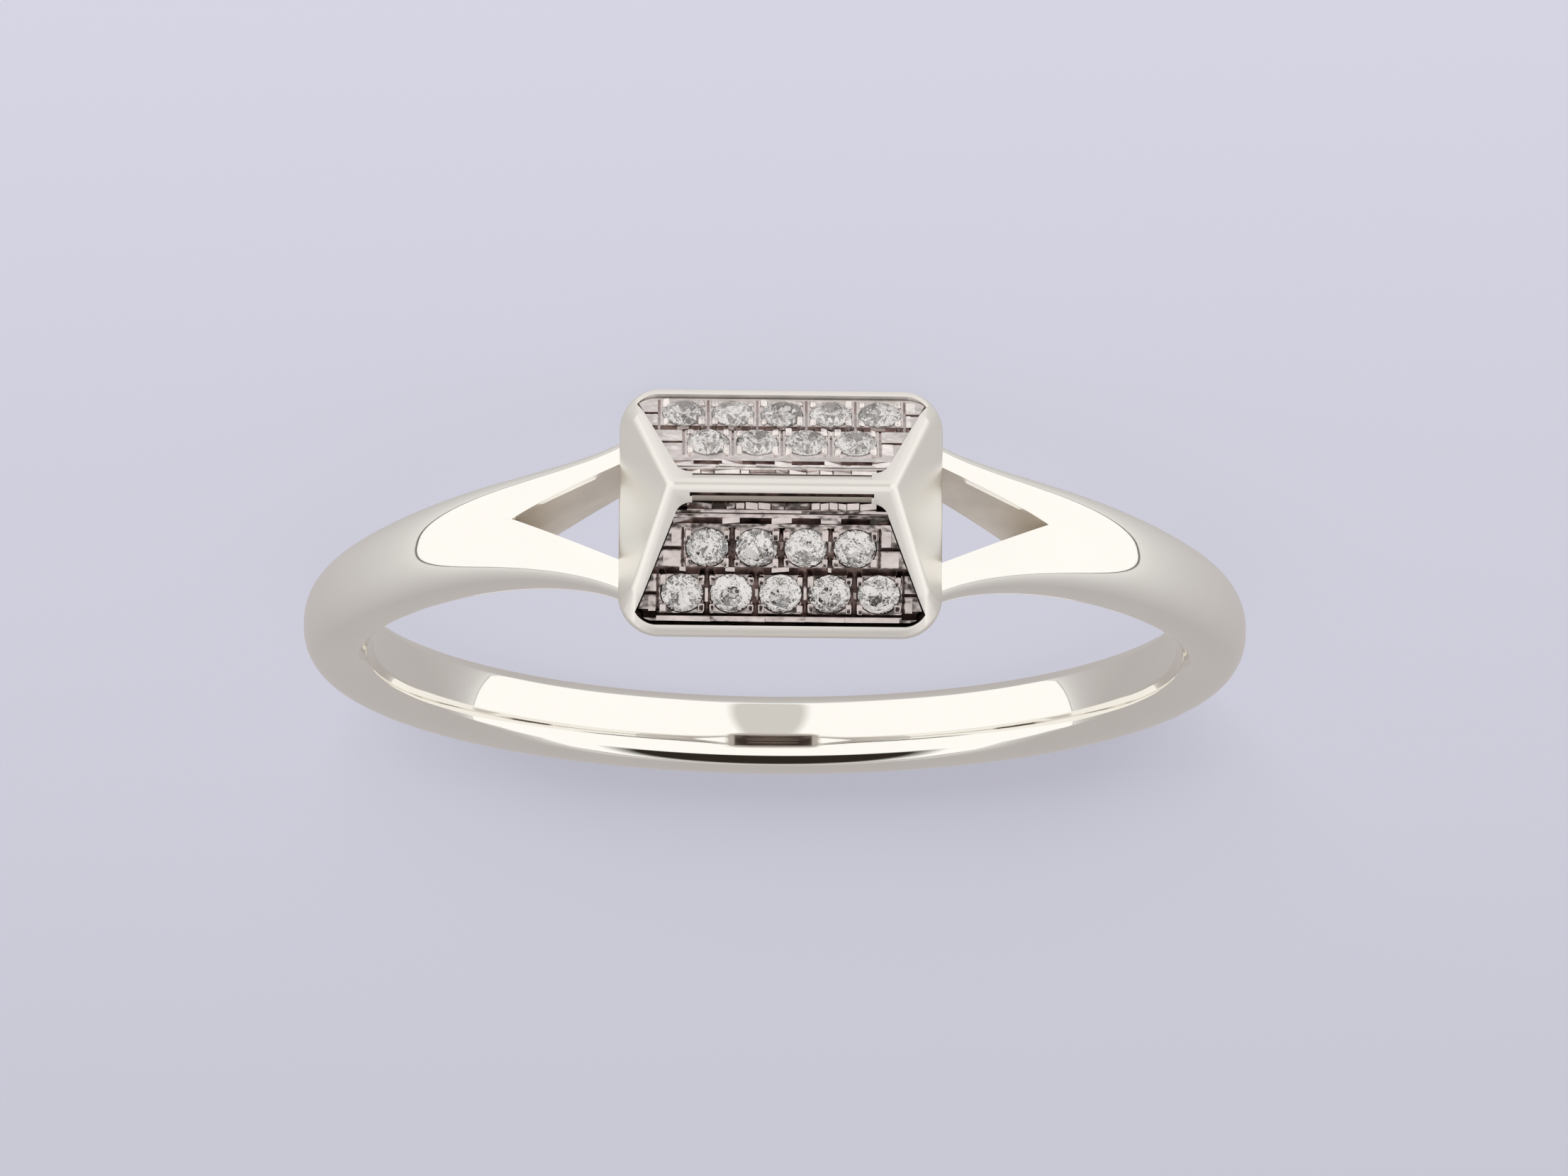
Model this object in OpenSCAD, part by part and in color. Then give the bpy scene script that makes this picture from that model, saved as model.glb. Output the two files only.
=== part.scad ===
// Split-shank diamond ring with a hipped head: two plain end slopes and two
// long slopes, each inlaid with a plate of nine round brilliants in two rows.
// The ring lies on its side: its head toward -Y and its far edge on the floor.
// Shapes are drawn upright first, with X across the ring, Y along the finger
// and Z up through the head, and are laid down by lay() at the end.

/* [Finger] */
// Inner diameter of the band
bore_d = 17; // [15:0.5:20]

/* [Band] */
// Width of the round band at the back
band_w = 1.62; // [1.5:0.02:2]
// Thickness of the band at the back
band_t = 1.4; // [1.2:0.05:1.7]
// Width of the band where its arms reach the head
shoulder_w = 3.3; // [3:0.1:3.8]
// Extra thickness at the crest of each shoulder
shoulder_t = 0.66; // [0.3:0.02:0.9]

/* [Split] */
// Distance of the point of the split from the middle of the ring
split_x = 5.54; // [4.8:0.02:5.6]
// Half of the opening of the split where it meets the head
split_half = 1.03; // [0.7:0.01:1.1]
// Draft of the walls of the split
split_draft = 7; // [3:1:12]

/* [Head] */
// Length of the head across the finger
head_l = 6.6; // [6.4:0.1:7]
// Width of the head along the finger
head_w = 5.2; // [5.1:0.1:5.5]
// Radius of the head's corners in plan
head_corner = 0.85; // [0.7:0.05:1]
// Height of the head's widest line above the middle of the ring
rim_z = 9.65; // [9.6:0.05:9.8]
// Rounding of the head's rim
rim_r = 0.3; // [0.24:0.02:0.36]
// Height of the ridge above the middle of the ring
ridge_z = 11.95; // [11.8:0.05:12.1]
// Length of the ridge between the hips
ridge_l = 4.55; // [4.5:0.05:4.6]
// Rounding of the ridge
ridge_r = 0.2; // [0.12:0.02:0.24]
// Inset of the head's foot on each side, at the finger
foot_inset = 0.68; // [0.5:0.02:0.8]

/* [Plates] */
// Depth of the plates below the slopes of the head
recess = 0.08; // [0.06:0.01:0.2]
// Thickness of a plate
plate_t = 0.5; // [0.45:0.01:0.55]
// Clearance between a plate and its frame
plate_gap = 0.04; // [0.02:0.01:0.06]
// Width of the ledge under a plate
ledge_w = 0.24; // [0.18:0.02:0.3]
// Thickness of the web that carries the ridge between the plates
web_t = 0.3; // [0.24:0.02:0.36]

/* [Stones] */
// Diameter of a brilliant
stone_d = 0.86; // [0.82:0.01:0.88]
// Spacing of the stones along a row
stone_pitch = 1; // [0.98:0.01:1.02]
// Spacing of the two rows down the slope
row_step = 1.03; // [1:0.01:1.05]
// How much nearer the rim the rows of the lower plate sit
lower_shift = 0.1; // [0:0.01:0.1]
// Diameter of a prong
prong_d = 0.17; // [0.12:0.01:0.2]
// Clearance between a stone and its seat
seat_gap = 0.02; // [0.015:0.005:0.03]

/* [Hidden] */

$fn = 48;
eps = 0.01;
bore_r = bore_d / 2;

// Band section: a superellipse whose inner end the bore cuts off, which
// leaves a flat of about two thirds of the width against the finger.
squareness = 2.24;
bore_cut = 0.785;
section_points = 24;
sections = 72;
band_a = band_w / 2;
band_b = band_t / (1 + bore_cut);
band_c = bore_r + bore_cut * band_b;

// The band starts inside the head's end walls.
start_angle = 18;
// Shoulders: the flare is a power law in the angle from the head, and the
// crest is a smooth swell.
flare_angle = 20;
flare_power = 1.84;
crest_angle = 31;
crest_spread = 21.5;

// The split: a wedge whose point lies on the shoulder's back.
split_point = [split_x, 9.16];
split_mouth = [3.27, 9.78];
split_axis = split_mouth - split_point;
split_len = norm(split_axis);
split_half_angle = atan2(split_half, split_len);

// Centres of the rim's corner roundings and of the ridge's two ends.
corner_x = head_l / 2 - head_corner;
corner_y = head_w / 2 - head_corner;
rim_y = head_w / 2 - rim_r;
ridge_c = ridge_z - ridge_r;
ridge_x = ridge_l / 2 - ridge_r / 2;
foot_z = 7.7;
foot_r = 0.5;

// Angle of a slope that spans a run from the ridge's round to the rim's.
function slope_angle(run) =
    let (rise = ridge_c - rim_z)
    atan2(rise, run) - asin((rim_r - ridge_r) / norm([run, rise]));

// A long slope: its angle, and the point where it leaves the ridge's round.
slope = slope_angle(rim_y);
slope_y = ridge_r * sin(slope);
slope_z = ridge_c + ridge_r * cos(slope);

// The foot of a hip: a ball a little sharper than the ridge, tangent to both
// slopes that meet there.
end_slope = slope_angle(head_l / 2 - rim_r - ridge_x);
hip_z = rim_z + 0.5;
hip_r = 0.15;
function hip_reach(from, angle) =
    from + ((ridge_c - hip_z) * cos(angle) + ridge_r - hip_r) / sin(angle);
hip_x = hip_reach(ridge_x, end_slope);
hip_y = hip_reach(0, slope);

// Length of a long slope, from the ridge's round to the rim's.
slope_len = norm([rim_y + rim_r * sin(slope) - slope_y,
    slope_z - rim_z - rim_r * cos(slope)]);

// Outline of a plate's pocket on the slope, as distances down from the ridge.
pocket_top = 0.26;
pocket_side = slope_len - 0.31;
pocket_end = slope_len - 0.08;
pocket_top_x = ridge_l / 2 - 0.205;
pocket_side_x = head_l / 2 - 0.34;
pocket_end_x = head_l / 2 - 0.52;

// Rows, counted from the ridge: four stones above five.
row_counts = [4, 5];
row_1 = slope_len - 1.8;
girdle_depth = recess + 0.04;
groove_depth = 0.16;

// Proportions of a round brilliant, as shares of its diameter.
table_share = 0.56;
crown_share = 0.15;
girdle_share = 0.03;
pavilion_share = 0.43;
star_reach = 0.76;
half_reach = 0.25;

// Rest on the side: the rim's long edge and the band's far edge touch.
rest_arm = [rim_z + band_c, rim_y];
rest_tilt = atan2(rest_arm[1], rest_arm[0])
    + asin((rim_r - band_a) / norm(rest_arm));
rest_lift = rim_y * cos(rest_tilt) + rim_r - rim_z * sin(rest_tilt);
rest_shift = (ridge_z - bore_r - band_t) * cos(rest_tilt) / 2;

// Colours as the photograph shows them.
white_gold = [0.86, 0.85, 0.81];
plate_gold = [0.72, 0.65, 0.64];
diamond_white = [0.93, 0.95, 0.96];

// ---- geometry helpers

// Sign-keeping power, for superellipses.
function spow(v, p) = sign(v) * pow(abs(v), p);

// Width and thickness of the band at an angle from the head.
function band_width(q) =
    band_w + (shoulder_w - band_w) * pow(flare_angle / max(q, flare_angle - 4),
        flare_power);
function band_thick(q) =
    band_t + shoulder_t * exp(-pow((q - crest_angle) / crest_spread, 2));

// One section of the band at angle q, as points in space.
function band_section(q) =
    let (
        from_head = min(q, 360 - q),
        a = band_width(from_head) / 2,
        b = band_thick(from_head) / (1 + bore_cut),
        c = bore_r + bore_cut * b
    )
    [for (i = [0 : section_points - 1])
        let (
            p = 360 * (i + 0.5) / section_points,
            r = c + b * spow(sin(p), 2 / squareness)
        )
        [r * sin(q), a * spow(cos(p), 2 / squareness), r * cos(q)]];

// Points of an outline whose corners [x, y, radius] are rounded.
function turn(a, b, c) =
    acos((a - b) * (c - b) / (norm(a - b) * norm(c - b)));
function corner_arc(a, b, c, r, steps = 5) =
    r == 0 ? [b] : let (
        half = turn(a, b, c) / 2,
        u = (a - b) / norm(a - b),
        v = (c - b) / norm(c - b),
        m = b + (u + v) / norm(u + v) * r / sin(half),
        p = b + u * r / tan(half) - m,
        q = b + v * r / tan(half) - m,
        sweep = 180 - 2 * half,
        side = sign(p[0] * q[1] - p[1] * q[0])
    )
    [for (i = [0 : steps])
        let (t = side * sweep * i / steps)
        m + [p[0] * cos(t) - p[1] * sin(t), p[0] * sin(t) + p[1] * cos(t)]];
function rounded(corners) =
    let (n = len(corners), at = [for (k = corners) [k[0], k[1]]])
    [for (i = [0 : n - 1])
        each corner_arc(at[(i + n - 1) % n], at[i], at[(i + 1) % n],
            corners[i][2])];

// A pocket's outline drawn in by a margin on every side. Its lower corners
// follow the rim: the sides stop short and an arc sweeps to the lower edge.
pocket_lean = (pocket_side_x - pocket_top_x) / (pocket_side - pocket_top);
function pocket_x(down, margin) =
    pocket_top_x + pocket_lean * (down - pocket_top)
        - margin * norm([1, pocket_lean]);
function mirrored(half) =
    concat(half, [for (i = [len(half) - 1 : -1 : 0])
        [-half[i][0], half[i][1], half[i][2]]]);
function pocket_outline(margin = 0) =
    let (
        top = pocket_top + margin,
        side = pocket_side - margin / 4,
        end = pocket_end - margin
    )
    rounded(mirrored([
        [pocket_x(top, margin), -top, 0.3],
        [pocket_x(side, margin), -side, 0],
        [pocket_end_x - margin / 2, -end, 0.45]
    ]));
function window_outline(margin) =
    let (top = pocket_top + margin, end = pocket_end - margin)
    rounded(mirrored([
        [pocket_x(top, margin), -top, 0.2],
        [pocket_x(end, margin), -end, 0.3]
    ]));

// Centres of a row's stones across the slope, and of all nine stones.
function row_x(n) =
    [for (i = [0 : n - 1]) (i - (n - 1) / 2) * stone_pitch];
function row_y(k, side) =
    -(row_1 + k * row_step + (side < 0 ? lower_shift : 0));
function stone_places(side) = [for (k = [0 : len(row_counts) - 1])
    for (x = row_x(row_counts[k])) [x, row_y(k, side)]];

// Puts its children on a long slope: X along the ridge, Y up the slope and
// Z out of it, with the origin where the slope leaves the ridge.
module on_slope(side) {
    rotate([0, 0, side > 0 ? 0 : 180])
        translate([0, -slope_y, slope_z])
            rotate([slope, 0, 0])
                children();
}

// As on_slope(), but cut off beside the web that stands under the ridge.
module beside_web(side, margin = 0) {
    intersection() {
        on_slope(side) children();
        rotate([0, 0, side > 0 ? 0 : 180])
            translate([-head_l, -head_w - web_t / 2 - margin, foot_z])
                cube([2 * head_l, head_w, 2 * (ridge_z - foot_z)]);
    }
}

// Lays the upright ring on its side, at rest, centred on its box.
module lay() {
    translate([0, rest_shift, rest_lift])
        rotate([-rest_tilt, 0, 0])
            rotate([-90, 0, 180])
                children();
}

// ---- ring body

// The band swept from one end wall of the head round to the other.
module band_sweep() {
    n = section_points;
    rings = [for (i = [0 : sections])
        band_section(start_angle
            + (360 - 2 * start_angle) * i / sections)];
    polyhedron(
        points = [for (ring = rings) each ring],
        faces = concat(
            [for (i = [0 : sections - 1]) for (j = [0 : n - 1])
                each [
                    [i * n + j, (i + 1) * n + j, i * n + (j + 1) % n],
                    [(i + 1) * n + j, (i + 1) * n + (j + 1) % n,
                        i * n + (j + 1) % n]
                ]],
            [[for (j = [0 : n - 1]) j]],
            [[for (j = [n - 1 : -1 : 0]) sections * n + j]]
        ));
}

// The wedge that splits a shoulder, narrower toward the finger.
module split_wedge(above = 1.2, below = 2.4, reach = 3) {
    along = split_axis / split_len;
    deep = [0, -1];
    function rim_points(depth) =
        let (
            inset = depth * tan(split_draft),
            tip = inset / sin(split_half_angle),
            half = reach * tan(split_half_angle)
                - inset / cos(split_half_angle),
            a = split_point + deep * depth + along * tip,
            b = split_point + deep * depth + along * reach
        )
        [[a[0], 0, a[1]], [b[0], -half, b[1]], [b[0], half, b[1]]];
    polyhedron(
        points = concat(rim_points(-above), rim_points(below)),
        faces = [[0, 1, 2], [5, 4, 3], [0, 3, 4], [0, 4, 1],
            [1, 4, 5], [1, 5, 2], [2, 5, 3], [2, 3, 0]]);
}

// The head's outer form: a hipped roof on a foot that narrows to the finger.
module head_form() {
    hull() {
        for (x = [-1, 1], y = [-1, 1]) {
            translate([x * corner_x, y * corner_y, rim_z])
                rotate_extrude($fn = 32)
                    translate([head_corner - rim_r, 0])
                        circle(r = rim_r, $fn = 24);
            translate([x * (head_l / 2 - foot_inset - foot_r),
                    y * (head_w / 2 - foot_inset - foot_r), foot_z])
                cylinder(r = foot_r, h = eps, $fn = 32);
        }
        for (x = [-1, 1]) {
            translate([x * ridge_x, 0, ridge_c])
                sphere(r = ridge_r, $fn = 32);
            for (y = [-1, 1])
                translate([x * hip_x, y * hip_y, hip_z])
                    sphere(r = hip_r, $fn = 24);
        }
    }
}

// The hollow of the head, open to the finger, under a thin roof.
module head_hollow() {
    roof_z = ridge_z - 1.1;
    eave = [head_l / 2 - 0.72, head_w / 2 - 0.72, rim_z - 0.35];
    foot = [2.2, 1.45, foot_z - 0.4];
    roof_x = ridge_x - 0.3;
    polyhedron(
        points = [
            [-foot[0], -foot[1], foot[2]], [foot[0], -foot[1], foot[2]],
            [foot[0], foot[1], foot[2]], [-foot[0], foot[1], foot[2]],
            [-eave[0], -eave[1], eave[2]], [eave[0], -eave[1], eave[2]],
            [eave[0], eave[1], eave[2]], [-eave[0], eave[1], eave[2]],
            [-roof_x, 0, roof_z], [roof_x, 0, roof_z]],
        faces = [[0, 1, 2, 3], [0, 4, 5, 1], [1, 5, 6, 2], [2, 6, 7, 3],
            [3, 7, 4, 0], [4, 8, 9, 5], [5, 9, 6], [6, 9, 8, 7],
            [7, 8, 4]]);
}

// A plate's pocket, and the window behind its ledge.
module plate_pocket() {
    floor_z = -recess - plate_t - plate_gap;
    translate([0, 0, floor_z])
        linear_extrude(1 - floor_z)
            polygon(pocket_outline());
    translate([0, 0, -2])
        linear_extrude(2 + floor_z + eps)
            polygon(window_outline(ledge_w));
}

// The bevelled lip between the ridge and a plate's upper edge.
module ridge_lip() {
    lip_half = pocket_top_x - 0.25;
    translate([-lip_half, 0, 0])
        rotate([90, 0, 90])
            linear_extrude(2 * lip_half)
                polygon([[-0.03, 0], [-pocket_top - eps, -recess - eps],
                    [-pocket_top - eps, 0.5], [-0.03, 0.5]]);
}

module ring_body_upright() {
    difference() {
        union() {
            difference() {
                band_sweep();
                split_wedge();
                mirror([1, 0, 0]) split_wedge();
            }
            head_form();
        }
        rotate([90, 0, 0])
            cylinder(r = bore_r, h = 2 * head_w, center = true, $fn = 128);
        head_hollow();
        for (side = [-1, 1]) {
            beside_web(side) plate_pocket();
            on_slope(side) ridge_lip();
        }
    }
}

// ---- plates

// Space that a stone takes, with its clearance, as a turned form.
module stone_space() {
    r = stone_d / 2 + seat_gap;
    crown = crown_share * stone_d;
    pavilion = pavilion_share * stone_d;
    band = girdle_share * stone_d;
    rotate_extrude($fn = 48)
        polygon([
            [0, -band - pavilion - seat_gap * 1.4],
            [r, -band - seat_gap / 2],
            [r, seat_gap / 2],
            [table_share * stone_d / 2 + seat_gap, crown + seat_gap],
            [0, crown + seat_gap]
        ]);
}

// A prong: a post with a round tip, standing in the groove between stones.
module prong() {
    foot = recess + groove_depth + 0.05;
    tip = recess - 0.05;
    translate([0, 0, -foot])
        cylinder(r = prong_d / 2, h = foot - tip - prong_d / 2, $fn = 24);
    translate([0, 0, -tip - prong_d / 2])
        sphere(r = prong_d / 2, $fn = 24);
}

module plate_flat(side) {
    top = -recess;
    difference() {
        translate([0, 0, top - plate_t])
            linear_extrude(plate_t)
                polygon(pocket_outline(plate_gap));
        // Cells engraved along the ridge side.
        for (x = row_x(8))
            translate([x / 2 - 0.19, -(pocket_top + 0.2), top - 0.07])
                cube([0.38, 0.13, 1]);
        // Dark line between the cells and the first row.
        translate([-2.2, -(pocket_top + 0.32), top - 0.12])
            cube([4.4, 0.08, 1]);
        // Groove between the two rows.
        translate([-2.45, row_y(0, side) - row_step / 2 - 0.07,
                top - groove_depth])
            cube([4.9, 0.12, 1]);
        // Groove between the second row and the border bar.
        if (side > 0)
            translate([-3, row_y(1, side) - stone_d / 2 - 0.13,
                    top - groove_depth])
                cube([6, 0.1, 1]);
        // Slits between neighbouring stones.
        for (k = [0 : 1], i = [0 : row_counts[k]])
            translate([(i - row_counts[k] / 2) * stone_pitch - 0.08,
                    row_y(k, side) - stone_d / 2, top - groove_depth])
                cube([0.16, stone_d, 1]);
    }
}

module plate_on_slope(side) {
    prong_reach = stone_d / 2 + 0.035;
    places = stone_places(side);
    difference() {
        union() {
            difference() {
                plate_flat(side);
                for (p = places)
                    translate([p[0], p[1], -girdle_depth])
                        cylinder(r = stone_d / 2 + seat_gap, h = 1);
            }
            for (p = places, sx = [-1, 1], sy = [-1, 1])
                translate([p[0] + sx * prong_reach * cos(40),
                        p[1] + sy * prong_reach * sin(40), 0])
                    prong();
        }
        for (p = places) {
            translate([p[0], p[1], -girdle_depth])
                stone_space();
            translate([p[0], p[1], -2])
                cylinder(r = stone_d / 4, h = 2 - recess - plate_t + 0.16,
                    $fn = 32);
        }
    }
}

// ---- stones

// A round brilliant: table, stars, kites and halves over a girdle and a
// pavilion of mains and halves. Its girdle's upper edge lies at z = 0.
module brilliant(d) {
    r = d / 2;
    table_r = table_share * r;
    crown = crown_share * d;
    girdle = girdle_share * d;
    pavilion = pavilion_share * d;
    half_step = 22.5;
    star_r = star_reach * r;
    star_z = crown * (r - star_r * cos(half_step)) / (r - table_r);
    half_r = half_reach * r;
    half_z = -girdle
        - pavilion * (1 - half_r * cos(half_step) / r);
    function ring_at(rad, z, n, from) =
        [for (i = [0 : n - 1])
            [rad * cos(from + 360 * i / n), rad * sin(from + 360 * i / n), z]];
    // Indices: table 0-7, stars 8-15, girdle top 16-31 and bottom 32-47,
    // halves 48-55, culet 56.
    polyhedron(
        points = concat(
            ring_at(table_r, crown, 8, 0),
            ring_at(star_r, star_z, 8, half_step),
            ring_at(r, 0, 16, 0),
            ring_at(r, -girdle, 16, 0),
            ring_at(half_r, half_z, 8, half_step),
            [[0, 0, -girdle - pavilion]]),
        faces = concat(
            [[for (i = [7 : -1 : 0]) i]],
            [for (i = [0 : 7]) [i, (i + 1) % 8, 8 + i]],
            [for (i = [0 : 7]) [i, 8 + i, 16 + 2 * i, 8 + (i + 7) % 8]],
            [for (i = [0 : 7]) [8 + i, 17 + 2 * i, 16 + 2 * i]],
            [for (i = [0 : 7]) [8 + i, 16 + (2 * i + 2) % 16, 17 + 2 * i]],
            [for (j = [0 : 15])
                [16 + j, 16 + (j + 1) % 16, 32 + (j + 1) % 16, 32 + j]],
            [for (i = [0 : 7]) [48 + i, 32 + 2 * i, 33 + 2 * i]],
            [for (i = [0 : 7]) [48 + i, 33 + 2 * i, 32 + (2 * i + 2) % 16]],
            [for (i = [0 : 7]) [56, 48 + (i + 7) % 8, 32 + 2 * i, 48 + i]]
        ));
}

// ---- sub-parts, as they lie

module ring_body() {
    color(white_gold) lay() ring_body_upright();
}

module pave_plate(side) {
    color(plate_gold) lay() beside_web(side, plate_gap)
        plate_on_slope(side);
}

module diamond(side, i) {
    color(diamond_white) lay() on_slope(side)
        translate([stone_places(side)[i - 1][0],
                stone_places(side)[i - 1][1], -girdle_depth])
            brilliant(stone_d);
}

ring_body();
pave_plate(1);  // pave_plate_upper
pave_plate(-1);  // pave_plate_lower
diamond(1, 1);  // diamond_upper_1
diamond(1, 2);  // diamond_upper_2
diamond(1, 3);  // diamond_upper_3
diamond(1, 4);  // diamond_upper_4
diamond(1, 5);  // diamond_upper_5
diamond(1, 6);  // diamond_upper_6
diamond(1, 7);  // diamond_upper_7
diamond(1, 8);  // diamond_upper_8
diamond(1, 9);  // diamond_upper_9
diamond(-1, 1);  // diamond_lower_1
diamond(-1, 2);  // diamond_lower_2
diamond(-1, 3);  // diamond_lower_3
diamond(-1, 4);  // diamond_lower_4
diamond(-1, 5);  // diamond_lower_5
diamond(-1, 6);  // diamond_lower_6
diamond(-1, 7);  // diamond_lower_7
diamond(-1, 8);  // diamond_lower_8
diamond(-1, 9);  // diamond_lower_9
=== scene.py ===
"""Diamond ring: a split white-gold band with a hipped head inlaid with brilliants.

Sizes are kept in metres in the panel. Shapes are drawn upright in
millimetres, with X across the ring, Y along the finger and Z up through the
head, and lay_matrix() turns them onto their side, where the ring rests.
"""

import math
import random

import bmesh
import bpy
from bpy.props import FloatProperty, FloatVectorProperty, IntProperty, PointerProperty
from bpy.types import Operator, Panel, PropertyGroup
from mathutils import Matrix, Vector


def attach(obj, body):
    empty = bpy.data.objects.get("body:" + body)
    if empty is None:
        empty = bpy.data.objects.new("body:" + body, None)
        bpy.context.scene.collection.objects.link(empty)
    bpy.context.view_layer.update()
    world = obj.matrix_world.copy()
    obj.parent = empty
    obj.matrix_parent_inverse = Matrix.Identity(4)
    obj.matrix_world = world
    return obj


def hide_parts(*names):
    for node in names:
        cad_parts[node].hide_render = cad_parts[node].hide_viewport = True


bl_info = {
    "name": "Diamond Ring",
    "version": (1, 0, 0),
    "blender": (4, 5, 0),
    "location": "View3D > Sidebar > Ring",
    "description": "Builds a split-band ring with a hipped head of brilliants",
    "category": "Object",
}

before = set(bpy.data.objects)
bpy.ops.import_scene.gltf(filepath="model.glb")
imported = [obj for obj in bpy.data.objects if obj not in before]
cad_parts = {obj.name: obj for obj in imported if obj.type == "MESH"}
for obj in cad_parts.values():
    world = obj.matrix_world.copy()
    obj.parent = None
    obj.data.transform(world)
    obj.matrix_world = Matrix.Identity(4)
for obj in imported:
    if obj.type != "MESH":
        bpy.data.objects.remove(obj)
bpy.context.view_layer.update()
SIDES = {"upper": 1, "lower": -1}
MM = 0.001


# ---- sizes and finishes


def length(name, description, millimetres, low=0.0, high=50.0):
    """A length in the panel, kept in metres."""
    return FloatProperty(
        name=name,
        description=description,
        default=millimetres * MM,
        min=low * MM,
        max=high * MM,
        precision=5,
        unit="LENGTH",
    )


def angle(name, description, degrees):
    return FloatProperty(
        name=name,
        description=description,
        default=math.radians(degrees),
        subtype="ANGLE",
    )


def colour(name, description, value):
    return FloatVectorProperty(
        name=name,
        description=description,
        default=value,
        size=3,
        min=0.0,
        max=1.0,
        subtype="COLOR",
    )


def share(name, description, value, high=1.0):
    return FloatProperty(
        name=name, description=description, default=value, min=0.0, max=high
    )


class BandSizes(PropertyGroup):
    bore: length("Inner diameter", "Across the inside of the band", 17)
    width: length("Width", "Width of the band at the back", 1.62)
    thickness: length("Thickness", "Thickness of the band at the back", 1.4)
    shoulder_width: length("Shoulder width", "Width where the arms reach the head", 3.3)
    swell: length("Swell", "Extra thickness at a shoulder's crest", 0.66)
    split_x: length("Split point", "From the ring's middle to the split's point", 5.54)
    split_half: length("Split opening", "Half of the split's opening", 1.03)
    edge: length("Edge", "Rounding of the split's edges", 0.035)
    dome: length("Inner dome", "Fall of the inside towards its edges", 0.066)


class HeadSizes(PropertyGroup):
    length: length("Length", "Length of the head across the finger", 6.6)
    width: length("Width", "Width of the head along the finger", 5.2)
    corner: length("Corner", "Radius of the head's corners in plan", 0.85)
    rim_z: length("Rim height", "Height of the widest line above the middle", 9.65)
    rim_r: length("Rim round", "Rounding of the rim", 0.3)
    ridge_z: length("Ridge height", "Height of the ridge above the middle", 11.95)
    ridge_l: length("Ridge length", "Length of the ridge between the hips", 4.55)
    ridge_r: length("Ridge round", "Rounding of the ridge", 0.2)
    foot_inset: length("Foot inset", "Inset of the foot at the finger", 0.68)
    edge: length("Edge", "Rounding of the pockets' edges", 0.03)


class PlateSizes(PropertyGroup):
    recess: length("Recess", "Depth of a plate below its slope", 0.08)
    thickness: length("Thickness", "Thickness of a plate", 0.5)
    gap: length("Gap", "Clearance round a plate", 0.04)
    groove: length("Groove", "Depth of the engraved grooves", 0.16)
    prong: length("Prong", "Width of a prong", 0.156)


class StoneSizes(PropertyGroup):
    diameter: length("Diameter", "Diameter of a brilliant", 0.86)
    pitch: length("Pitch", "Spacing of the stones along a row", 1.0)
    row_step: length("Row step", "Spacing of the two rows", 1.03)
    shift: length("Lower shift", "How much nearer the rim the lower rows sit", 0.1)
    table: share("Table", "Width of the table as a share of the diameter", 0.56)
    crown: share("Crown", "Height of the crown as a share of the diameter", 0.15)
    girdle: share("Girdle", "Height of the girdle as a share of the diameter", 0.03)
    pavilion: share(
        "Pavilion", "Depth of the pavilion as a share of the diameter", 0.43
    )
    seed: IntProperty(
        name="Seed", description="Changes how the stones are turned", default=7, min=0
    )


class Finishes(PropertyGroup):
    white_gold: colour("White gold", "Polished body", (0.90, 0.88, 0.84))
    satin_gold: colour("Satin gold", "Brushed head", (0.83, 0.805, 0.76))
    brushed_gold: colour("Brushed gold", "Strips round the plates", (0.81, 0.78, 0.75))
    wall_gold: colour("Wall gold", "Walls of the split", (0.92, 0.87, 0.80))
    plate_gold: colour("Plate gold", "Bright-cut plates", (0.66, 0.585, 0.57))
    # Painted light: a lighter copy of the plate gold for the far plate.
    far_gold: colour("Far plate gold", "Bright-cut plate below", (0.86, 0.80, 0.78))
    # Painted shade: dark gold laid in the near plate's grooves, slits, pits and seats,
    # the near pocket's walls and the line in the near lip.
    shade_gold: colour("Groove gold", "Darkened engraving", (0.27, 0.195, 0.18))
    # The duller gold of the head's inside and of the windows behind the ledges; on the
    # near lip it is painted shade.
    inner_gold: colour("Inner gold", "Unpolished inside", (0.50, 0.45, 0.40))
    diamond: colour("Diamond", "Tint of the stones", (0.69, 0.665, 0.655))
    floor: colour("Floor", "Pale paper under the ring", (0.62, 0.62, 0.72))


class StudioSizes(PropertyGroup):
    distance: length("Camera distance", "From the ring's middle", 320, 50, 2000)
    lens: FloatProperty(
        name="Lens", description="Focal length in millimetres", default=349.46, min=20
    )
    elevation: angle(
        "Elevation", "Angle of the camera above the upright ring's finger plane", 75.67
    )
    yaw: angle("Turn", "Turn of the ring about the finger", 0.6)
    roll: angle("Roll", "Roll of the picture", -0.46)
    floor_size: length("Floor", "Side of the square floor", 1600, 100, 5000)


GROUPS = {
    "ring_band": BandSizes,
    "ring_head": HeadSizes,
    "ring_plates": PlateSizes,
    "ring_stones": StoneSizes,
    "ring_finishes": Finishes,
    "ring_studio": StudioSizes,
}


class Millimetres:
    """The lengths of a group in millimetres."""

    def __init__(self, group):
        self.group = group

    def __getattr__(self, name):
        return getattr(self.group, name) / MM


def sizes(context):
    scene = context.scene
    return (
        Millimetres(scene.ring_band),
        Millimetres(scene.ring_head),
        Millimetres(scene.ring_plates),
        scene.ring_stones,
    )


# ---- where things lie

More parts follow.
